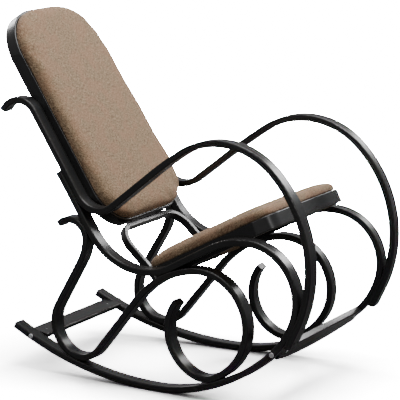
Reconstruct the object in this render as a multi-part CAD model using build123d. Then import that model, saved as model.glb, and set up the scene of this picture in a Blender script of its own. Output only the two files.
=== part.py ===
"""Rocking chair with bentwood side frames, an upholstered seat and an upholstered hoop back.

Millimetres, +Z up, the chair faces -Y and +X is the sitter's left. Each side frame lies in its
own vertical plane and is drawn there as (forward, up); the two planes are splayed to the front.
The finished chair is moved so that the origin is on the floor, under the middle of its box.
"""

from build123d import *
import math
import os

os.makedirs("parts", exist_ok=True)

# Bent strips of the side frames
STRIP_WIDTH = 38.0
STRIP_THICK = 18.5
STRIP_ROUND = 3.0
TRIM = 1.0
SPLAY_DEG = 2.94
HALF_SPAN = 235.5

# Arm strip: rear curl, back post, tight turn at the seat, armrest and the sweep to its front
ARM_START = (-490.0, 711.0)
ARM_HEADING = 61.9
ARM_BENDS = [
    ("bend", 60.5, -118.7),
    ("run", 261.0),
    ("bend", 75.5, 95.0),
    ("run", 162.5),
    ("bend", 1200.0, -5.3),
    ("bend", 221.7, -75.9),
    ("bend", 345.0, -72.8),
    ("run", 58.0),
]
ARM_END_HEIGHT = 166.0

# Runner strip: back post, side rail under the seat, front ring and the rocker to its rear end
RAIL_BELOW_CURL = 176.0
RUNNER_BENDS = [
    ("run", 187.0),
    ("bend", 195.3, 85.1),
    ("run", 137.2),
    ("bend", 229.5, -31.0),
    ("bend", 143.3, -68.1),
    ("bend", 143.5, -35.1),
    ("bend", 215.0, -30.9),
    ("bend", 547.8, -43.6),
    ("bend", 973.9, -25.9),
    ("run", 24.7),
]

# Scroll strip: rear curl, rear leg, bottom loop, diagonal, arch and the free front scroll
SCROLL_START = (-306.6, 414.3)
SCROLL_HEADING = 46.6
SCROLL_BENDS = [
    ("bend", 50.3, -140.6),
    ("bend", 139.1, -26.4),
    ("run", 147.5),
    ("bend", 93.6, 86.8),
    ("bend", 77.5, 84.8),
    ("run", 197.0),
    ("bend", 285.7, -41.9),
    ("bend", 141.2, -130.4),
    ("bend", 170.9, -35.2),
    ("bend", 78.7, -39.8),
    ("bend", 123.1, -92.0),
    ("bend", 110.1, -22.1),
]

# Seat: a frame in a plane that rises to the front, a plywood panel in its rebate and a pad
SEAT_SLOPE_DEG = 27.5
SEAT_REAR = (-35.0, 271.0)
SEAT_LENGTH = 424.0
SEAT_FRAME_HEIGHT = 38.0
SEAT_WALL = 20.0
SEAT_CORNER = 60.0
SEAT_EDGE_ROUND = 2.5
PANEL_THICK = 15.0
REBATE = 10.0
PAD_INSET = 2.0
PAD_TUCK = 2.5
PAD_CROWN_STEPS = [(0.5, 16.0), (0.8, 40.0), (0.95, 70.0), (1.0, 105.0)]
SMALLEST_CORNER = 15.0
BLOCK_REACH = 80.0
SEAT_PAD_EDGE = 14.0
SEAT_PAD_CROWN = 34.0

# Back: a hoop that leans with the posts, with a plywood panel, a front pad and a rear cover
BACK_LEAN_DEG = 33.3
BACK_ORIGIN = (-332.0, 667.0)
BACK_TOP = 353.0
BACK_BOTTOM = -305.0
BACK_FRONT = 11.0
BACK_DEPTH = 38.0
BACK_WALL = 14.0
BACK_TOP_CORNER = 140.0
BACK_BOTTOM_CORNER = 110.0
BACK_PANEL_THICK = 3.0
BACK_REBATE = 7.0
COVER_SUNK = 3.0
BACK_COVER_THICK = 2.0
COVER_ROUND = 0.8
BACK_PAD_INSET = 3.0
BACK_PAD_EDGE = 14.0
BACK_PAD_CROWN = 28.0
SOFT_GAP = 0.5

# Lumbar bow: a U that rises from the rear of the seat frame to the bottom of the hoop
BOW_SLOPE_DEG = 43.3
BOW_BAR = (-168.3, 395.7)
BOW_HALF_WIDTH = 160.0
BOW_LEG = 200.0
BOW_CORNER = 62.0
BOW_THICK = 15.0
BOW_WIDTH = 22.0
BOW_ROUND = 2.5

# Stretchers between the rockers
REAR_STRETCHER_AT = (-403.6, 87.0)
REAR_STRETCHER_TILT = -9.0
REAR_STRETCHER_DEPTH = 56.0
REAR_STRETCHER_THICK = 13.0
FRONT_STRETCHER_AT = (364.6, 145.5)
FRONT_STRETCHER_TILT = 51.5
FRONT_STRETCHER_DEPTH = 36.0
FRONT_STRETCHER_BELLY = 30.0
FRONT_STRETCHER_THICK = 18.0
STRETCHER_BLANK = 520.0

# Half the side of the blanks that parts are trimmed with, larger than the chair
TRIM_REACH = 1500.0

# Fixings
BOLT_DIAMETER = 6.0
BOLT_HEAD = 14.0
BOLT_HEAD_HEIGHT = 3.5
BOLT_HEAD_ROUND = 1.0
BOLT_SOCKET = 4.0
BOLT_LENGTH = 76.0
NUT_DIAMETER = 10.0
NUT_DEPTH_FROM_END = 30.0
NUT_SUNK = 0.5
SCREW_DIAMETER = 4.0
SCREW_HEAD = 7.0
SCREW_HEAD_HEIGHT = 2.0
SCREW_PROUD = 0.4
SCREW_LENGTH = 26.0

# Frame screws: strip, distance along it, side of the heading the head is on, offset across
FRAME_SCREWS = [
    ("arm", 1508.0, 1, 0.0),
    ("arm", 1552.0, 1, -9.0),
    ("arm", 1552.0, 1, 9.0),
    ("runner", 24.0, -1, 0.0),
    ("runner", 120.0, -1, 0.0),
    ("scroll", 91.0, -1, 0.0),
    ("scroll", 501.0, 1, 0.0),
    ("scroll", 922.0, -1, 0.0),
    ("scroll", 1425.0, -1, 0.0),
]
# Distances along the runner, along the arm and along a bow leg, and offsets from the centre
SEAT_SCREWS = [505.0, 625.0]
BACK_SCREWS = [170.0, 330.0]
BACK_SCREW_OFFSET = -1.8
BOW_FOOT_SCREW = 172.0
BOW_BAR_SCREW = 70.0


def side_frame_plane():
    """Mid plane of the right side frame: local x forward, local y up, local z outward."""
    splay = math.radians(SPLAY_DEG)
    forward = (-math.sin(splay), -math.cos(splay), 0)
    outward = (-math.cos(splay), math.sin(splay), 0)
    return Plane(origin=(-HALF_SPAN, 0, 0), x_dir=forward, z_dir=outward)


RIGHT = side_frame_plane()


def advance(station, bend, share=1.0):
    """(x, y, heading) after a share of one run or bend that starts at a station."""
    x, y, heading = station
    if bend[0] == "run":
        length = bend[1] * share
        return x + length * math.cos(heading), y + length * math.sin(heading), heading
    turn = math.radians(bend[2]) * share
    radius = math.copysign(bend[1], turn)
    after = heading + turn
    x += radius * (math.sin(after) - math.sin(heading))
    y -= radius * (math.cos(after) - math.cos(heading))
    return x, y, after


def bend_length(bend):
    return bend[1] if bend[0] == "run" else bend[1] * abs(math.radians(bend[2]))


def bend_path(start, heading_deg, bends):
    """Wire of runs and tangent bends, plus the (x, y, heading) station after each piece."""
    stations = [(*start, math.radians(heading_deg))]
    edges = []
    for bend in bends:
        begin = stations[-1]
        middle = advance(begin, bend, 0.5)
        end = advance(begin, bend)
        if bend[0] == "run":
            edges.append(Line(begin[:2], end[:2]))
        else:
            edges.append(ThreePointArc(begin[:2], middle[:2], end[:2]))
        stations.append(end)
    return Wire(edges), stations


def station_at(start, heading_deg, bends, length):
    """(x, y, heading) at a given length along a bent strip's centreline."""
    station = (*start, math.radians(heading_deg))
    for bend in bends:
        piece = bend_length(bend)
        if length <= piece:
            return advance(station, bend, length / piece)
        station = advance(station, bend)
        length -= piece
    return station


def bent_strip(wire, station, width=STRIP_WIDTH, thick=STRIP_THICK, rounding=STRIP_ROUND):
    """Rounded rectangular strip swept along a flat wire; width runs across the wire's plane."""
    x, y, heading = station
    tangent = (math.cos(heading), math.sin(heading), 0)
    section_plane = Plane(origin=(x, y, 0), x_dir=(0, 0, 1), z_dir=tangent)
    section = section_plane * RectangleRounded(width, thick, rounding)
    return sweep(section, path=wire)


def side_by_side(station, along, offset):
    """Point a distance along a station's heading and offset to the right of it."""
    x, y, heading = station
    return (
        x + along * math.cos(heading) + offset * math.sin(heading),
        y + along * math.sin(heading) - offset * math.cos(heading),
    )


def on_right(shape):
    return RIGHT.location * shape


def on_left(shape):
    return mirror(on_right(shape), about=Plane.YZ)


def tilted_plane(side_point, slope_deg):
    """Plane across the chair through a (forward, up) point; its local y climbs forward."""
    forward, up = side_point
    slope = math.radians(slope_deg)
    normal = (0, math.sin(slope), math.cos(slope))
    return Plane(origin=(0, -forward, up), x_dir=(-1, 0, 0), z_dir=normal)


def inner_half_width(y):
    """Half the distance between the side frames' inner faces at a given Y."""
    splay = math.radians(SPLAY_DEG)
    return HALF_SPAN - STRIP_WIDTH / 2 / math.cos(splay) - y * math.tan(splay)


def space_between_frames():
    """Everything between the inner faces of the two side frames."""
    front = inner_half_width(-TRIM_REACH)
    rear = inner_half_width(TRIM_REACH)
    corners = [(-front, -TRIM_REACH), (front, -TRIM_REACH), (rear, TRIM_REACH), (-rear, TRIM_REACH)]
    return extrude(make_face(Polyline(*corners, close=True)), TRIM_REACH)


BETWEEN = space_between_frames()


# Fixings ---------------------------------------------------------------------------------


def screw(start, direction, proud=0.0):
    """Countersunk-size screw whose head is flush with, or just proud of, its start point."""
    axis = Plane(origin=start, z_dir=direction).offset(-proud)
    head = extrude(axis * Circle(SCREW_HEAD / 2), SCREW_HEAD_HEIGHT)
    return head + extrude(axis * Circle(SCREW_DIAMETER / 2), SCREW_LENGTH)


def strip_screw(station, side, across=0.0):
    """Screw across a strip at a station; side +1 has its head on the left of the heading."""
    x, y, heading = station
    left = Vector(-math.sin(heading), math.cos(heading), 0) * side
    face = Vector(x, y, across) + left * STRIP_THICK / 2
    return screw(face, left * -1, SCREW_PROUD)


def stretcher_bolt(at):
    """Socket-head bolt from the outer face of a rocker into a stretcher's end."""
    face = Plane(origin=(at[0], at[1], STRIP_WIDTH / 2))
    head = extrude(face * Circle(BOLT_HEAD / 2), BOLT_HEAD_HEIGHT)
    head = fillet(head.edges().group_by(Axis.Z)[-1], BOLT_HEAD_ROUND)
    socket = extrude(
        face.offset(BOLT_HEAD_HEIGHT) * RegularPolygon(BOLT_SOCKET / 2, 6), -BOLT_HEAD_HEIGHT
    )
    shank = extrude(face * Circle(BOLT_DIAMETER / 2), -BOLT_LENGTH)
    return head - socket + shank


def barrel_nut(at, tilt_deg, thick):
    """Cross dowel through a stretcher's thickness, for the bolt to screw into."""
    tilt = math.radians(tilt_deg)
    axis = Vector(-math.sin(tilt), math.cos(tilt), 0)
    depth = -STRIP_WIDTH / 2 - NUT_DEPTH_FROM_END
    base = Vector(at[0], at[1], depth) - axis * (thick / 2 - NUT_SUNK)
    blank = Plane(origin=base, z_dir=axis) * Circle(NUT_DIAMETER / 2)
    body = extrude(blank, thick - 2 * NUT_SUNK)
    bore = extrude(Pos(at[0], at[1]) * Circle(BOLT_DIAMETER / 2), -BOLT_LENGTH)
    return body - bore


# Side frames -----------------------------------------------------------------------------


def build_side_frame():
    """The three strips of one side frame in side-frame coordinates, with their screws."""
    arm_wire, arm_stations = bend_path(ARM_START, ARM_HEADING, ARM_BENDS)
    cut_line = Pos(0, ARM_END_HEIGHT + TRIM_REACH, 0)
    arm = bent_strip(arm_wire, arm_stations[0]) & cut_line * Box(*[2 * TRIM_REACH] * 3)

    runner_start = side_by_side(arm_stations[1], RAIL_BELOW_CURL, STRIP_THICK)
    post_heading = math.degrees(arm_stations[1][2])
    runner_wire, runner_stations = bend_path(runner_start, post_heading, RUNNER_BENDS)
    runner = bent_strip(runner_wire, runner_stations[0])

    scroll_wire, scroll_stations = bend_path(SCROLL_START, SCROLL_HEADING, SCROLL_BENDS)
    scroll = bent_strip(scroll_wire, scroll_stations[0])

    arm = arm - runner
    scroll = scroll - runner

    strips = {
        "arm": (ARM_START, ARM_HEADING, ARM_BENDS),
        "runner": (runner_start, post_heading, RUNNER_BENDS),
        "scroll": (SCROLL_START, SCROLL_HEADING, SCROLL_BENDS),
    }
    screws = [
        strip_screw(station_at(*strips[strip], length), side, across)
        for strip, length, side, across in FRAME_SCREWS
    ]
    seat_screws = [
        screw_from_inside(station_at(*strips["runner"], length), SEAT_WALL)
        for length in SEAT_SCREWS
    ]
    back_screws = [
        screw_from_inside(station_at(*strips["arm"], length), BACK_WALL, BACK_SCREW_OFFSET)
        for length in BACK_SCREWS
    ]
    return arm, runner, scroll, screws, seat_screws, back_screws


def screw_from_inside(station, wall, offset=0.0):
    """Screw through a wall that lies on the strip's inner face, head flush with the wall."""
    x, y = side_by_side(station, 0, offset)
    return screw(Vector(x, y, -STRIP_WIDTH / 2 - wall - TRIM), Vector(0, 0, 1))


# Seat ------------------------------------------------------------------------------------


def rounded_outline(shape, inset=0.0):
    """Symmetric four-sided face with rounded corners; shape is its half widths and heights."""
    lower_half, upper_half, bottom, top, lower_corner, upper_corner = shape
    corners = [
        (-lower_half + inset, bottom + inset),
        (lower_half - inset, bottom + inset),
        (upper_half - inset, top - inset),
        (-upper_half + inset, top - inset),
    ]
    face = make_face(Polyline(*corners, close=True))
    by_height = face.vertices().group_by(Axis.Y)
    face = fillet(by_height[0], max(lower_corner - inset, SMALLEST_CORNER))
    by_height = face.vertices().group_by(Axis.Y)
    return fillet(by_height[-1], max(upper_corner - inset, SMALLEST_CORNER))


def shape_between(bottom_y, top_y, bottom, top, lower_corner, upper_corner):
    """Shape that just fills the space between the side frames, with a little to trim off."""
    lower_half = inner_half_width(bottom_y) + TRIM
    upper_half = inner_half_width(top_y) + TRIM
    return lower_half, upper_half, bottom, top, lower_corner, upper_corner


def seat_shape():
    rear_y = -SEAT_REAR[0]
    front_y = rear_y - SEAT_LENGTH * math.cos(math.radians(SEAT_SLOPE_DEG))
    return shape_between(rear_y, front_y, 0, SEAT_LENGTH, SEAT_CORNER, SEAT_CORNER)


def back_shape():
    lean = math.sin(math.radians(BACK_LEAN_DEG))
    origin_y = -BACK_ORIGIN[0]
    bottom_y = origin_y + BACK_BOTTOM * lean
    top_y = origin_y + BACK_TOP * lean
    corners = (BACK_BOTTOM_CORNER, BACK_TOP_CORNER)
    return shape_between(bottom_y, top_y, BACK_BOTTOM, BACK_TOP, *corners)


def crowned_pad(shape, inset, base, edge, crown):
    """Pad with upright edges and a stepped crown, lofted through shrinking outlines."""
    levels = [(0.0, inset + PAD_TUCK), (edge / 2, inset), (edge, inset + PAD_TUCK)]
    levels += [(edge + (crown - edge) * rise, inset + step) for rise, step in PAD_CROWN_STEPS]
    sections = [Pos(0, 0, base + height) * rounded_outline(shape, wide) for height, wide in levels]
    return loft(sections, ruled=True)


def build_seat():
    """Seat frame, corner blocks, plywood panel and pad, in the chair's coordinates."""
    plane = tilted_plane(SEAT_REAR, SEAT_SLOPE_DEG)
    shape = seat_shape()
    frame = extrude(rounded_outline(shape), SEAT_FRAME_HEIGHT)
    rims = frame.edges().group_by(Axis.Z)
    frame = fillet(rims[-1] + rims[0], SEAT_EDGE_ROUND)
    opening = rounded_outline(shape, SEAT_WALL)
    rebate_base = SEAT_FRAME_HEIGHT - PANEL_THICK
    panel = Pos(0, 0, rebate_base) * extrude(rounded_outline(shape, REBATE), PANEL_THICK)
    frame = frame - extrude(opening, SEAT_FRAME_HEIGHT) - panel
    pad = crowned_pad(shape, PAD_INSET, SEAT_FRAME_HEIGHT, SEAT_PAD_EDGE, SEAT_PAD_CROWN)
    blocks = [plane.location * block for block in corner_blocks(opening, rebate_base)]
    frame = (plane.location * frame) & BETWEEN
    return frame, blocks, plane.location * panel, plane.location * pad


def corner_blocks(opening, height):
    """Triangular glue blocks in the four inner corners of the seat frame."""
    box = opening.bounding_box()
    blocks = []
    for y in (box.min.Y, box.max.Y):
        for x in (box.min.X, box.max.X):
            diamond = Pos(x, y) * Rot(0, 0, 45) * Rectangle(BLOCK_REACH, BLOCK_REACH)
            blocks.append(extrude(opening & diamond, height))
    return blocks


# Back ------------------------------------------------------------------------------------


def build_back():
    """Back hoop, plywood panel, front pad and rear cover, in the chair's coordinates."""
    lean = math.radians(BACK_LEAN_DEG)
    forward, up = BACK_ORIGIN
    normal = (0, -math.cos(lean), math.sin(lean))
    plane = Plane(origin=(0, -forward, up), x_dir=(1, 0, 0), z_dir=normal)
    shape = back_shape()
    rear = BACK_FRONT - BACK_DEPTH
    hoop = Pos(0, 0, rear) * extrude(rounded_outline(shape), BACK_DEPTH)
    rims = hoop.edges().group_by(Axis.Z)
    hoop = fillet(rims[-1] + rims[0], STRIP_ROUND)
    opening = rounded_outline(shape, BACK_WALL)
    panel_base = Pos(0, 0, BACK_FRONT - BACK_PANEL_THICK)
    panel = panel_base * extrude(rounded_outline(shape, BACK_REBATE), BACK_PANEL_THICK)
    hoop = hoop - Pos(0, 0, rear) * extrude(opening, BACK_DEPTH) - panel
    pad = crowned_pad(shape, BACK_PAD_INSET, BACK_FRONT, BACK_PAD_EDGE, BACK_PAD_CROWN)
    cover_outline = rounded_outline(shape, BACK_WALL + SOFT_GAP)
    cover = Pos(0, 0, rear + COVER_SUNK) * extrude(cover_outline, BACK_COVER_THICK)
    cover = fillet(cover.edges().group_by(Axis.Z)[0], COVER_ROUND)
    hoop = (plane.location * hoop) & BETWEEN
    return hoop, plane.location * panel, plane.location * pad, plane.location * cover


# Lumbar bow and stretchers ---------------------------------------------------------------


def build_bow(hoop):
    """U-shaped bow, bevelled against the seat frame's rear and fitted under the hoop."""
    plane = tilted_plane(BOW_BAR, -BOW_SLOPE_DEG)
    leg = BOW_LEG - BOW_CORNER
    bar = 2 * (BOW_HALF_WIDTH - BOW_CORNER)
    bends = [
        ("run", leg),
        ("bend", BOW_CORNER, -90.0),
        ("run", bar),
        ("bend", BOW_CORNER, -90.0),
        ("run", leg),
    ]
    wire, stations = bend_path((BOW_HALF_WIDTH, BOW_LEG), -90.0, bends)
    bow = plane.location * bent_strip(wire, stations[0], BOW_WIDTH, BOW_THICK, BOW_ROUND)
    seat_plane = tilted_plane(SEAT_REAR, SEAT_SLOPE_DEG)
    seat_block = extrude(rounded_outline(seat_shape()), TRIM_REACH, both=True)
    below_seat = Pos(0, 0, -TRIM_REACH) * Box(*[2 * TRIM_REACH] * 3)
    bow = bow - seat_plane.location * seat_block - seat_plane.location * below_seat - hoop
    screws = []
    for side in (-1, 1):
        foot = screw(
            Vector(side * BOW_HALF_WIDTH, BOW_FOOT_SCREW, -BOW_WIDTH / 2), Vector(0, 0, 1)
        )
        top = screw(Vector(side * BOW_BAR_SCREW, BOW_THICK / 2, 0), Vector(0, -1, 0))
        screws += [plane.location * foot, plane.location * top]
    return bow, screws


def board(plane, outline, thick, rounding):
    """Board of a given outline centred on a plane, its long edges rounded, fitted between."""
    solid = Pos(0, 0, -thick / 2) * extrude(outline, thick)
    faces = solid.faces().group_by(Axis.Z)
    solid = fillet(faces[0].edges() + faces[-1].edges(), rounding)
    return (plane.location * solid) & BETWEEN


def build_stretchers():
    """Flat rear stretcher and the front one, whose lower edge bellies down in the middle."""
    rear_plane = tilted_plane(REAR_STRETCHER_AT, REAR_STRETCHER_TILT)
    rear = board(
        rear_plane,
        Rectangle(STRETCHER_BLANK, REAR_STRETCHER_DEPTH),
        REAR_STRETCHER_THICK,
        STRIP_ROUND,
    )
    front_plane = tilted_plane(FRONT_STRETCHER_AT, FRONT_STRETCHER_TILT)
    half, low = STRETCHER_BLANK / 2, -FRONT_STRETCHER_DEPTH / 2
    lower_edge = ThreePointArc((half, low), (0, low - FRONT_STRETCHER_BELLY), (-half, low))
    top_edge = Polyline((-half, low), (-half, -low), (half, -low), (half, low))
    outline = make_face(Wire([lower_edge, *top_edge.edges()]))
    front = board(front_plane, outline, FRONT_STRETCHER_THICK, STRIP_ROUND)
    return rear, front


def build_fixings():
    """The bolts and barrel nuts that hold the two stretchers between the rockers."""
    bolts, nuts = [], []
    for at, tilt, thick in [
        (REAR_STRETCHER_AT, REAR_STRETCHER_TILT, REAR_STRETCHER_THICK),
        (FRONT_STRETCHER_AT, FRONT_STRETCHER_TILT, FRONT_STRETCHER_THICK),
    ]:
        for place in (on_right, on_left):
            bolts.append(place(stretcher_bolt(at)))
            nuts.append(place(barrel_nut(at, tilt, thick)))
    return bolts, nuts


def both_sides(shapes):
    """Shapes of one side frame, placed on the right and mirrored to the left."""
    return [place(shape) for place in (on_right, on_left) for shape in shapes]


def build_chair():
    """Every node of the chair by name, each a list of its solids."""
    arm, runner, scroll, frame_screws, seat_screws, back_screws = build_side_frame()
    seat_frame, blocks, seat_panel, seat_pad = build_seat()
    hoop, back_panel, back_pad, back_cover = build_back()
    bow, bow_screws = build_bow(hoop)
    rear_stretcher, front_stretcher = build_stretchers()
    bolts, nuts = build_fixings()
    frame_screws = both_sides(frame_screws)
    seat_screws = both_sides(seat_screws)
    back_screws = both_sides(back_screws)
    nodes = {}
    for name, strip in (("arm", arm), ("runner", runner), ("scroll_leg", scroll)):
        for side, place in (("right", on_right), ("left", on_left)):
            nodes[f"{name}_{side}"] = [place(strip)]
    nodes["rear_stretcher"] = [rear_stretcher]
    nodes["front_stretcher"] = [front_stretcher]
    nodes["seat_frame"] = [seat_frame]
    nodes["back_hoop"] = [hoop]
    nodes["lumbar_bow"] = [bow]
    fixings = [*bolts, *nuts, *frame_screws, *seat_screws, *back_screws, *bow_screws]
    for name, shapes in nodes.items():
        nodes[name] = [shape - fixings for shape in shapes]
    nodes["corner_blocks"] = blocks
    nodes["seat_panel"] = [seat_panel]
    nodes["seat_pad"] = [seat_pad]
    nodes["back_panel"] = [back_panel]
    nodes["back_pad"] = [back_pad]
    nodes["back_cover"] = [back_cover]
    nodes["stretcher_bolts"] = bolts
    nodes["barrel_nuts"] = nuts
    nodes["frame_screws"] = frame_screws
    nodes["seat_screws"] = seat_screws
    nodes["back_screws"] = back_screws
    nodes["bow_screws"] = bow_screws
    return nodes


def export_chair(nodes):
    """Move the chair so the origin is under its centre and write one file per node."""
    box = Compound(children=[Compound(shapes) for shapes in nodes.values()]).bounding_box()
    shift = Pos(0, -(box.min.Y + box.max.Y) / 2, -box.min.Z)
    for name, shapes in nodes.items():
        solids = [solid for shape in shapes for solid in (shift * shape).solids()]
        export_step(Compound(children=solids), f"parts/{name}.step")


export_chair(build_chair())
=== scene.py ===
import math

import bmesh
import bpy
from mathutils import Matrix, Vector, geometry, noise


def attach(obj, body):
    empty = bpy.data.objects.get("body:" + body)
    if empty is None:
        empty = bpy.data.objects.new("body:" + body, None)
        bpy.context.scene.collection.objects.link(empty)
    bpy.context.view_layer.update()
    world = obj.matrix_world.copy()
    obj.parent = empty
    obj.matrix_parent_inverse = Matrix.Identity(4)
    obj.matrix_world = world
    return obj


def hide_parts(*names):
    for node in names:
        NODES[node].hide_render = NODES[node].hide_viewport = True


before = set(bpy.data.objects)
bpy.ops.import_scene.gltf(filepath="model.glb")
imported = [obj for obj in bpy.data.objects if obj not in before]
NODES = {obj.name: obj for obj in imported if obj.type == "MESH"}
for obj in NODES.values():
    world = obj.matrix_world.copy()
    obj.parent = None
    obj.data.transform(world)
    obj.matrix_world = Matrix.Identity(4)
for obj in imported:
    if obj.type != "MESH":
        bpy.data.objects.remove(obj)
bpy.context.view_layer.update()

# Camera, metres in the frame's axes
CAMERA_AT = (-4.87334, -2.74713, 1.59082)
CAMERA_LOOK = (0.85701, 0.47672, -0.19565)
CAMERA_LENS = 187.29
SENSOR_WIDTH = 36.0

# Area lights: name, place, what it faces, width and height, watts
LIGHTS = [
    ("overhead", (0.4, -0.5, 3.4), (0, 0, 0.4), (2.4, 2.4), 150),
    ("behind", (1.8, 3.4, 2.3), (0, 0.2, 0.6), (1.4, 1.4), 70),
    ("left_fill", (-3.4, 0.4, 2.2), (0, 0, 0.6), (1.6, 1.6), 20),
    ("front", (-1.2, -4.0, 2.6), (0, 0, 0.4), (0.8, 0.8), 22),
    ("right_side", (3.5, -1.25, 2.5), (0, -0.1, 0.5), (1.2, 0.9), 70),
]

# Strength of the studio's walls as light on the chair, and as the white behind it
WORLD_LIGHT = 0.32
WORLD_SEEN = 60.0

# Floor: half its width, what it throws back on the chair, and its brightness to the eye, which
# rises with the distance from the chair and drops to the shadow tone where the chair is near
FLOOR_REACH = 4.5
FLOOR_THROWN = 0.08
FLOOR_NEAR, FLOOR_FAR = 14.0, 160.0
FLOOR_RISE_START, FLOOR_RISE_END = 0.8, 3.0
SHADOW_TONE = 0.8
SHADOW_REACH = 0.35
SHADOW_SAMPLES = 16
SHADOW_POWER = 4.0

# Slopes of the two upholstered planes, in radians about X
SEAT_SLOPE = -0.48
BACK_SLOPE = 0.9896

# Cushions, in metres where they are lengths
VOXEL = 0.005
PAD_EDGE = 0.014
SEAT_FULLNESS, SEAT_SWELL = 0.55, 0.003
BACK_FULLNESS, BACK_SWELL = 0.95, 0.005
BULGE = 0.005
SIDE_PULL = 0.004
SHOULDER_START, SHOULDER_ROUNDS = 0.6, 8
CROWN_START, CROWN_ROUNDS = 0.9, 40
SETTLE_ROUNDS = 14
RIPPLE_HEIGHT = 0.0005
RIPPLE_LENGTH = 0.05

# Cloth that the cushions are blown up as
PINNED_BAND = 0.004
PRESSURE = 4.0
CLOTH_QUALITY = 5
CLOTH_STIFFNESS = 40.0
CLOTH_BENDING = 10.0
LAST_FRAME = 20

# Upholstery cloth: width of one yarn, how far the rows wander, and how much of a point's height
# off the plane moves it along the rows, so that the weave runs on down the walls
YARN = 0.0019
YARN_SWAY = 0.0024
WALL_LEAN = 0.7

# Back lining: its field, its edge and the piping on it, as shares of the rear board's size
LINING_EDGE = 0.992
LINING_STEPS = (0.08, 0.2, 0.35, 0.55, 0.8)
LINING_CROWN = 0.002
PIPING_LINE = 0.986
PIPING_RADIUS = 0.0022
OUTLINE_POINTS = 180
TUBE_SIDES = 10
TUBE_SIDEWAYS = (0.3, 0.9, 0.3)

# Colours
LACQUER_DARK = (0.0075, 0.0075, 0.008)
LACQUER_LIGHT = (0.012, 0.0115, 0.0115)
LACQUER_RUBBED = (0.05, 0.048, 0.045)
YARN_DARK = (0.062, 0.038, 0.022)
YARN_BROWN = (0.205, 0.124, 0.072)
YARN_OLIVE = (0.205, 0.148, 0.083)
YARN_PALE = (0.460, 0.335, 0.218)
# Painted shade: the darker colour given to the low gaps between the yarns
YARN_GAP_SHADE = (0.10, 0.060, 0.033)
YARN_ROSY = (0.29, 0.145, 0.088)
YARN_SHEEN = (1.0, 0.86, 0.76)
BIRCH_DARK = (0.20, 0.13, 0.07)
BIRCH = (0.29, 0.20, 0.12)
BIRCH_PALE = (0.34, 0.25, 0.16)
BIRCH_PLY = (0.3, 0.19, 0.1)
ZINC = (0.75, 0.75, 0.76)
BLACKENED = (0.03, 0.03, 0.032)

# The lacquer's grain, stretched along the strips and along the pieces that cross the chair
STRIP_GRAIN = (420.0, 9.0, 9.0)
CROSS_GRAIN = (9.0, 380.0, 380.0)

LACQUERED_STRIPS = [
    "arm_right", "arm_left", "runner_right", "runner_left", "scroll_leg_right", "scroll_leg_left",
]
LACQUERED_CROSS_PIECES = [
    "rear_stretcher", "front_stretcher", "seat_frame", "back_hoop", "lumbar_bow",
]
ZINC_FIXINGS = ["stretcher_bolts", "barrel_nuts", "seat_screws", "back_screws"]
BLACK_FIXINGS = ["frame_screws", "bow_screws"]


class Graph:
    """A new material's node tree, with short calls that add a node and wire its inputs."""

    def __init__(self, name):
        self.material = bpy.data.materials.new(name)
        self.material.use_nodes = True
        self.tree = self.material.node_tree
        self.shader = self.tree.nodes["Principled BSDF"]

    def feed(self, socket, value):
        if isinstance(value, bpy.types.NodeSocket):
            self.tree.links.new(value, socket)
        elif isinstance(value, tuple) and socket.type == "RGBA":
            socket.default_value = (*value, 1.0)
        else:
            socket.default_value = value

    def add(self, kind, *inputs, **settings):
        node = self.tree.nodes.new(kind)
        for key, value in settings.items():
            setattr(node, key, value)
        for socket, value in zip(node.inputs, inputs):
            if value is not None:
                self.feed(socket, value)
        return node

    def set(self, **inputs):
        for name, value in inputs.items():
            self.feed(self.shader.inputs[name.replace("_", " ")], value)

    def math(self, operation, *values):
        return self.add("ShaderNodeMath", *values, operation=operation).outputs[0]

    def place(self, scale=(1, 1, 1), turn=(0, 0, 0)):
        at = self.add("ShaderNodeTexCoord").outputs["Object"]
        return self.add("ShaderNodeMapping", at, None, turn, scale).outputs[0]

    def noise(self, at, scale, detail=2.0, roughness=0.5):
        node = self.add("ShaderNodeTexNoise", at)
        self.feed(node.inputs["Scale"], scale)
        self.feed(node.inputs["Detail"], detail)
        self.feed(node.inputs["Roughness"], roughness)
        return node.outputs[0]

    def between(self, value, low, high):
        """Value from 0 to 1 spread over a range."""
        node = self.add("ShaderNodeMapRange", value)
        self.feed(node.inputs["To Min"], low)
        self.feed(node.inputs["To Max"], high)
        return node.outputs[0]

    def sharpen(self, value, low, high):
        """0 below low, 1 above high, smooth between."""
        node = self.add("ShaderNodeMapRange", value, low, high, interpolation_type="SMOOTHSTEP")
        return node.outputs[0]

    def pick(self, factor, a, b):
        """The number a where factor is 0 and b where it is 1."""
        node = self.add("ShaderNodeMix", factor)
        self.feed(node.inputs[2], a)
        self.feed(node.inputs[3], b)
        return node.outputs[0]

    def ramp(self, value, *stops):
        node = self.add("ShaderNodeValToRGB", value)
        elements = node.color_ramp.elements
        while len(elements) < len(stops):
            elements.new(0.5)
        for element, (place, colour) in zip(elements, stops):
            element.position = place
            element.color = (*colour, 1.0)
        return node.outputs[0]

    def mix(self, factor, a, b):
        """The colour a where factor is 0 and b where it is 1."""
        node = self.add("ShaderNodeMix", data_type="RGBA")
        self.feed(node.inputs[0], factor)
        self.feed(node.inputs[6], a)
        self.feed(node.inputs[7], b)
        return node.outputs[2]

    def bump(self, height, strength, distance):
        node = self.add("ShaderNodeBump")
        self.feed(node.inputs["Strength"], strength)
        self.feed(node.inputs["Distance"], distance)
        self.feed(node.inputs["Height"], height)
        return node.outputs[0]


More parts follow.
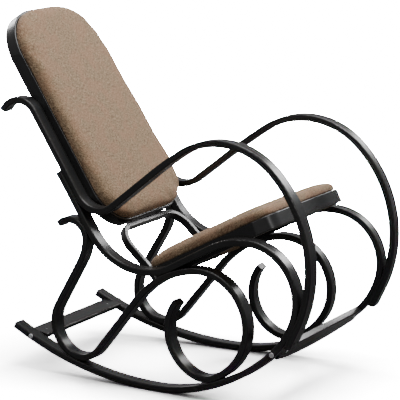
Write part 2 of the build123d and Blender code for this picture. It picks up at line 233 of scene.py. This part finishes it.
def lacquer(name, grain_scale):
    """Black satin lacquer over bentwood: the grain shows faintly through, and it is rubbed in specks."""
    g = Graph(name)
    grain = g.noise(g.place(grain_scale), scale=1.0, detail=3.0, roughness=0.6)
    cloud = g.noise(g.place(), scale=9.0)
    peel = g.noise(g.place(), scale=420.0, detail=1.0)
    specks = g.sharpen(g.noise(g.place(), scale=900.0, detail=0.0), low=0.74, high=0.8)
    tone = g.ramp(cloud, (0.3, LACQUER_DARK), (0.7, LACQUER_LIGHT))
    rubbed = g.mix(g.math("MULTIPLY", specks, 0.25), tone, LACQUER_RUBBED)
    rough_cloud = g.between(cloud, low=0.25, high=0.34)
    rough_grain = g.between(grain, low=-0.03, high=0.04)
    height = g.math("ADD", g.math("MULTIPLY", grain, 0.8), g.math("MULTIPLY", peel, 0.35))
    g.set(Base_Color=rubbed, Roughness=g.math("ADD", rough_cloud, rough_grain))
    g.set(Normal=g.bump(height, strength=0.07, distance=0.0004))
    g.set(Coat_Weight=0.12, Coat_Roughness=0.2)
    return g.material


def woven(name, slope):
    """Heathered weave in a plane turned by slope about X; yarns follow the pad's sides."""
    g = Graph(name)
    at = g.add("ShaderNodeSeparateXYZ", g.place(turn=(-slope, 0, 0)))
    lean = g.math("MULTIPLY", at.outputs[2], WALL_LEAN)
    across = g.math("ADD", at.outputs[0], lean)
    along = g.math("ADD", at.outputs[1], lean)
    drift = g.math("SUBTRACT", g.noise(g.place(), scale=55.0), 0.5)
    sway = g.math("MULTIPLY", drift, YARN_SWAY)
    warp = g.math("DIVIDE", g.math("ADD", across, sway), YARN)
    weft = g.math("DIVIDE", g.math("ADD", along, sway), YARN)
    over = g.math("PINGPONG", g.math("ADD", g.math("FLOOR", warp), g.math("FLOOR", weft)), 1.0)

    def rounded(rows):
        return g.math("ABSOLUTE", g.math("SINE", g.math("MULTIPLY", rows, math.pi)))

    def heather(across_scale, along_scale, seed):
        where = g.add(
            "ShaderNodeCombineXYZ",
            g.math("MULTIPLY", across, across_scale),
            g.math("MULTIPLY", along, along_scale),
            seed,
        ).outputs[0]
        return g.noise(where, scale=1.0, roughness=0.7)

    height = g.pick(over, rounded(warp), rounded(weft))
    tone = g.pick(over, heather(460.0, 130.0, seed=1.0), heather(130.0, 460.0, seed=7.0))
    yarns = g.ramp(tone, (0.38, YARN_DARK), (0.47, YARN_BROWN), (0.53, YARN_OLIVE), (0.62, YARN_PALE))
    filled = g.sharpen(height, low=0.02, high=0.5)
    # Painted shade: where the weave dips between the yarns, its colour is darkened towards the gap shade
    shaded = g.mix(g.between(filled, low=0.55, high=1.0), YARN_GAP_SHADE, yarns)
    rosy = g.sharpen(g.noise(g.place(), scale=21.0, detail=3.0), low=0.42, high=0.62)
    colour = g.mix(g.math("MULTIPLY", rosy, 0.30), shaded, YARN_ROSY)
    fuzz = g.noise(g.place(), scale=2600.0, detail=1.0)
    relief = g.math("ADD", height, g.math("MULTIPLY", fuzz, 0.5))
    g.set(Base_Color=colour, Roughness=g.between(fuzz, low=0.78, high=0.95))
    g.set(Normal=g.bump(relief, strength=0.25, distance=0.0004))
    g.set(Sheen_Weight=0.2, Sheen_Roughness=0.5, Sheen_Tint=YARN_SHEEN)
    g.set(Specular_IOR_Level=0.2)
    return g.material


def plywood(name, slope):
    """Birch plywood: long face grain in the panel's plane and plies across its thickness."""
    g = Graph(name)
    face = g.noise(g.place((60, 3, 60), (-slope, 0, 0)), scale=1.0, detail=5.0, roughness=0.65)
    plies = g.add("ShaderNodeTexWave", g.place(turn=(-slope, 0, 0)), bands_direction="Z")
    g.feed(plies.inputs["Scale"], 110.0)
    g.feed(plies.inputs["Distortion"], 0.4)
    wood = g.ramp(face, (0.3, BIRCH_DARK), (0.55, BIRCH), (0.8, BIRCH_PALE))
    colour = g.mix(g.math("MULTIPLY", plies.outputs[1], 0.25), wood, BIRCH_PLY)
    g.set(Base_Color=colour, Roughness=g.between(face, low=0.55, high=0.75))
    g.set(Normal=g.bump(face, strength=0.2, distance=0.0004))
    return g.material


def steel(name, tone, roughness):
    """Turned metal with fine scratches and a slightly cloudy plating."""
    g = Graph(name)
    scratch = g.noise(g.place((4000, 300, 300)), scale=1.0)
    cloud = g.noise(g.place(), scale=260.0)
    brighter = tuple(min(1.0, part * 1.2) for part in tone)
    colour = g.ramp(cloud, (0.35, tone), (0.7, brighter))
    rough = g.between(scratch, low=roughness - 0.08, high=roughness + 0.1)
    g.set(Base_Color=colour, Roughness=rough, Metallic=1.0)
    g.set(Normal=g.bump(scratch, strength=0.1, distance=0.0001))
    return g.material


def paint(piece, material):
    piece.data.materials.clear()
    piece.data.materials.append(material)


def paint_frame():
    """Materials of the CAD nodes that stay."""
    finishes = [
        (LACQUERED_STRIPS, lacquer("lacquer_on_strips", STRIP_GRAIN)),
        (LACQUERED_CROSS_PIECES, lacquer("lacquer_on_cross_pieces", CROSS_GRAIN)),
        (ZINC_FIXINGS, steel("zinc_steel", ZINC, roughness=0.45)),
        (BLACK_FIXINGS, steel("black_steel", BLACKENED, roughness=0.4)),
        (["seat_panel"], plywood("plywood_seat_panel", SEAT_SLOPE)),
        (["corner_blocks"], plywood("plywood_corner_blocks", SEAT_SLOPE)),
        (["back_panel"], plywood("plywood_back_panel", BACK_SLOPE)),
    ]
    for names, material in finishes:
        for name in names:
            paint(NODES[name], material)


def new_piece(name, mesh):
    piece = bpy.data.objects.new(name, mesh)
    bpy.context.scene.collection.objects.link(piece)
    return piece


def take_mesh(edit, name):
    """A mesh made from an edit, with its faces turned outward."""
    bmesh.ops.recalc_face_normals(edit, faces=edit.faces)
    mesh = bpy.data.meshes.new(name)
    edit.to_mesh(mesh)
    edit.free()
    return mesh


def join_rings(edit, near, far):
    """Band of four-sided faces between two rings of as many points."""
    for index in range(len(near)):
        after = (index + 1) % len(near)
        edit.faces.new((near[index], near[after], far[after], far[index]))


def apply_modifiers(piece):
    """Keep the evaluated mesh and drop every modifier."""
    graph = bpy.context.evaluated_depsgraph_get()
    mesh = bpy.data.meshes.new_from_object(piece.evaluated_get(graph))
    piece.modifiers.clear()
    piece.data = mesh


def remesh(piece, size):
    modifier = piece.modifiers.new("voxels", "REMESH")
    modifier.mode = "VOXEL"
    modifier.voxel_size = size
    apply_modifiers(piece)


def soften(edit, above, rounds, sideways):
    """Smooth the points above a height, either in every direction or only up and down."""
    free = [point for point in edit.verts if point.co.z > above]
    for _ in range(rounds):
        bmesh.ops.smooth_vert(
            edit,
            verts=free,
            factor=0.5,
            use_axis_x=sideways,
            use_axis_y=sideways,
            use_axis_z=True,
        )


def shape_cushion(piece, edge, fullness):
    """Plump a pad that lies flat: fuller shoulders, a bulging wall and sides that pull in."""
    points = piece.data.vertices
    base = min(point.co.z for point in points)
    crown = max(point.co.z for point in points) - base
    half = max(abs(point.co.x) for point in points)
    low = min(point.co.y for point in points)
    high = max(point.co.y for point in points)
    middle, reach = (low + high) / 2, (high - low) / 2
    fuller_edge = edge + fullness * (crown - edge)
    edit = bmesh.new()
    edit.from_mesh(piece.data)
    edit.normal_update()
    for point in edit.verts:
        height = point.co.z - base
        if height < edge:
            height *= fuller_edge / edge
        else:
            height += fullness * (crown - height)
        wall = 1 - abs(point.normal.z)
        bulge = BULGE * wall * math.sin(math.pi * min(1.0, height / fuller_edge))
        outward = Vector((point.normal.x, point.normal.y, 0))
        side = point.co.x / half
        climb = (point.co.y - middle) / reach
        point.co.z = base + height
        point.co += outward * bulge
        point.co.x -= SIDE_PULL * half * side * (1 - climb * climb)
        point.co.y -= SIDE_PULL * reach * climb * (1 - side * side)
    soften(edit, base + fuller_edge * SHOULDER_START, SHOULDER_ROUNDS, sideways=True)
    soften(edit, base + fuller_edge * CROWN_START, CROWN_ROUNDS, sideways=False)
    for point in edit.verts:
        ripple = noise.noise(point.co / RIPPLE_LENGTH) * RIPPLE_HEIGHT
        point.co.z += ripple * min(1.0, (point.co.z - base) / fuller_edge)
    edit.to_mesh(piece.data)
    edit.free()


def inflate(piece, swell):
    """Blow the pad up as cloth that is held along its base, moving no point more than swell."""
    rest = [point.co.copy() for point in piece.data.vertices]
    base = min(point.z for point in rest)
    held = piece.vertex_groups.new(name="held")
    edge = [index for index, point in enumerate(rest) if point.z < base + PINNED_BAND]
    held.add(edge, 1.0, "REPLACE")
    modifier = piece.modifiers.new("cloth", "CLOTH")
    modifier.point_cache.frame_start = 1
    modifier.point_cache.frame_end = LAST_FRAME
    settings = modifier.settings
    settings.vertex_group_mass = "held"
    settings.quality = CLOTH_QUALITY
    settings.tension_stiffness = CLOTH_STIFFNESS
    settings.compression_stiffness = CLOTH_STIFFNESS
    settings.bending_stiffness = CLOTH_BENDING
    settings.use_pressure = True
    settings.uniform_pressure_force = PRESSURE
    settings.effector_weights.gravity = 0.0
    for step in range(1, LAST_FRAME + 1):
        bpy.context.scene.frame_set(step)
    apply_modifiers(piece)
    bpy.context.scene.frame_set(1)
    for point, start in zip(piece.data.vertices, rest):
        move = point.co - start
        if move.length > swell:
            point.co = start + move * (swell / move.length)
    piece.vertex_groups.clear()
    edit = bmesh.new()
    edit.from_mesh(piece.data)
    soften(edit, base + PINNED_BAND, SETTLE_ROUNDS, sideways=True)
    edit.to_mesh(piece.data)
    edit.free()


def subdivide(piece):
    modifier = piece.modifiers.new("rounding", "SUBSURF")
    modifier.levels = 1
    modifier.render_levels = 1
    apply_modifiers(piece)
    for face in piece.data.polygons:
        face.use_smooth = True


def add_cushion(node, name, slope, fullness, swell):
    """Upholstered cushion in the place of a plain soft solid."""
    piece = new_piece(name, NODES[node].data.copy())
    piece.data.transform(Matrix.Rotation(-slope, 4, "X"))
    remesh(piece, VOXEL)
    shape_cushion(piece, PAD_EDGE, fullness)
    inflate(piece, swell)
    subdivide(piece)
    piece.data.transform(Matrix.Rotation(slope, 4, "X"))
    paint(piece, woven(f"weave_{name}", slope))
    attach(piece, "root")
    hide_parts(node)


def outline_of(node, up):
    """Points evenly spaced round a flat node's edge, as (x, distance up the plane)."""
    flat = [(point.co.x, point.co @ up) for point in NODES[node].data.vertices]
    hull = [flat[index] for index in geometry.convex_hull_2d(flat)]
    steps = [math.dist(a, b) for a, b in zip(hull, hull[1:] + hull[:1])]
    spacing = sum(steps) / OUTLINE_POINTS
    points, gone, corner = [], 0.0, 0
    for index in range(OUTLINE_POINTS):
        target = index * spacing
        while gone + steps[corner] < target:
            gone += steps[corner]
            corner += 1
        share = (target - gone) / steps[corner]
        start, end = hull[corner], hull[(corner + 1) % len(hull)]
        points.append(tuple(a + (b - a) * share for a, b in zip(start, end)))
    return points


def add_lining():
    """Fabric-covered board inside the back of the hoop, with piping round its edge."""
    turn = Matrix.Rotation(BACK_SLOPE, 3, "X")
    up, out = turn @ Vector((0, 1, 0)), turn @ Vector((0, 0, 1))
    depths = [point.co @ out for point in NODES["back_cover"].data.vertices]
    rear, front = min(depths), max(depths)
    outline = outline_of("back_cover", up)
    centre = sum(point[1] for point in outline) / len(outline)

    def ring(scale, level):
        return [
            Vector((x * scale, 0, 0)) + up * (centre + (y - centre) * scale) + out * level
            for x, y in outline
        ]

    levels = [(LINING_EDGE, front), (LINING_EDGE, rear)]
    for share in LINING_STEPS:
        levels.append((1 - share, rear - LINING_CROWN * math.sin(share * math.pi / 2)))
    edit = bmesh.new()
    rings = [[edit.verts.new(point) for point in ring(*level)] for level in levels]
    for near, far in zip(rings, rings[1:]):
        join_rings(edit, near, far)
    edit.faces.new(rings[0][::-1])
    edit.faces.new(rings[-1])
    lining = new_piece("back_lining", take_mesh(edit, "back_lining"))
    for face in lining.data.polygons[:-2]:
        face.use_smooth = True
    weave = woven("weave_back_lining", BACK_SLOPE)
    paint(lining, weave)
    piping = tube("back_piping", ring(PIPING_LINE, rear), PIPING_RADIUS)
    paint(piping, weave)
    for piece in (lining, piping):
        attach(piece, "root")
    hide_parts("back_cover")


def tube(name, points, radius):
    """Round cord along a closed loop of points."""
    edit = bmesh.new()
    rings = []
    for index, point in enumerate(points):
        along = (points[(index + 1) % len(points)] - points[index - 1]).normalized()
        side = along.cross(Vector(TUBE_SIDEWAYS)).normalized()
        other = along.cross(side)
        ring = []
        for step in range(TUBE_SIDES):
            angle = 2 * math.pi * step / TUBE_SIDES
            offset = side * math.cos(angle) + other * math.sin(angle)
            ring.append(edit.verts.new(point + offset * radius))
        rings.append(ring)
    for near, far in zip(rings, rings[1:] + rings[:1]):
        join_rings(edit, near, far)
    mesh = take_mesh(edit, name)
    for face in mesh.polygons:
        face.use_smooth = True
    return new_piece(name, mesh)


def floor_material():
    """Pale floor with a soft shadow where it is seen, and a dark one for the light it throws back."""
    g = Graph("pale_floor")
    away = g.add("ShaderNodeTexCoord").outputs["Object"]
    away = g.add("ShaderNodeVectorMath", away, operation="LENGTH").outputs["Value"]
    bright = g.add(
        "ShaderNodeMapRange", away, FLOOR_RISE_START, FLOOR_RISE_END, FLOOR_NEAR, FLOOR_FAR
    ).outputs[0]
    nearness = g.add("ShaderNodeAmbientOcclusion", None, SHADOW_REACH, samples=SHADOW_SAMPLES)
    open_share = g.math("POWER", nearness.outputs["AO"], SHADOW_POWER)
    seen_tone = g.mix(open_share, (SHADOW_TONE,) * 3, bright)
    seen = g.add("ShaderNodeBsdfDiffuse", seen_tone).outputs[0]
    thrown = g.add("ShaderNodeBsdfDiffuse", (FLOOR_THROWN,) * 3).outputs[0]
    to_camera = g.add("ShaderNodeLightPath").outputs["Is Camera Ray"]
    both = g.add("ShaderNodeMixShader", to_camera, thrown, seen).outputs[0]
    g.tree.nodes.remove(g.shader)
    g.feed(g.tree.nodes["Material Output"].inputs["Surface"], both)
    return g.material


def add_floor():
    corners = [(-1, -1), (1, -1), (1, 1), (-1, 1)]
    mesh = bpy.data.meshes.new("floor")
    mesh.from_pydata([(x * FLOOR_REACH, y * FLOOR_REACH, 0) for x, y in corners], [], [(0, 1, 2, 3)])
    floor = new_piece("floor", mesh)
    paint(floor, floor_material())


def add_light(name, at, target, size, power):
    data = bpy.data.lights.new(name, "AREA")
    data.shape = "RECTANGLE"
    data.size, data.size_y = size
    data.energy = power
    light = bpy.data.objects.new(name, data)
    light.location = at
    light.rotation_mode = "QUATERNION"
    light.rotation_quaternion = (Vector(target) - Vector(at)).to_track_quat("-Z", "Y")
    bpy.context.scene.collection.objects.link(light)


def add_world():
    world = bpy.data.worlds.new("studio")
    bpy.context.scene.world = world
    world.use_nodes = True
    tree = world.node_tree
    back = tree.nodes["Background"]
    path = tree.nodes.new("ShaderNodeLightPath")
    strength = tree.nodes.new("ShaderNodeMapRange")
    strength.inputs["To Min"].default_value = WORLD_LIGHT
    strength.inputs["To Max"].default_value = WORLD_SEEN
    tree.links.new(path.outputs["Is Camera Ray"], strength.inputs["Value"])
    tree.links.new(strength.outputs[0], back.inputs["Strength"])
    back.inputs["Color"].default_value = (1, 1, 1, 1)


def add_camera():
    data = bpy.data.cameras.new("camera")
    data.lens = CAMERA_LENS
    data.sensor_width = SENSOR_WIDTH
    camera = bpy.data.objects.new("camera", data)
    camera.location = CAMERA_AT
    camera.rotation_mode = "QUATERNION"
    camera.rotation_quaternion = Vector(CAMERA_LOOK).to_track_quat("-Z", "Y")
    bpy.context.scene.collection.objects.link(camera)
    bpy.context.scene.camera = camera


add_camera()
add_world()
add_floor()
for light in LIGHTS:
    add_light(*light)
paint_frame()
add_cushion("seat_pad", "seat_cushion", SEAT_SLOPE, SEAT_FULLNESS, SEAT_SWELL)
add_cushion("back_pad", "back_cushion", BACK_SLOPE, BACK_FULLNESS, BACK_SWELL)
add_lining()
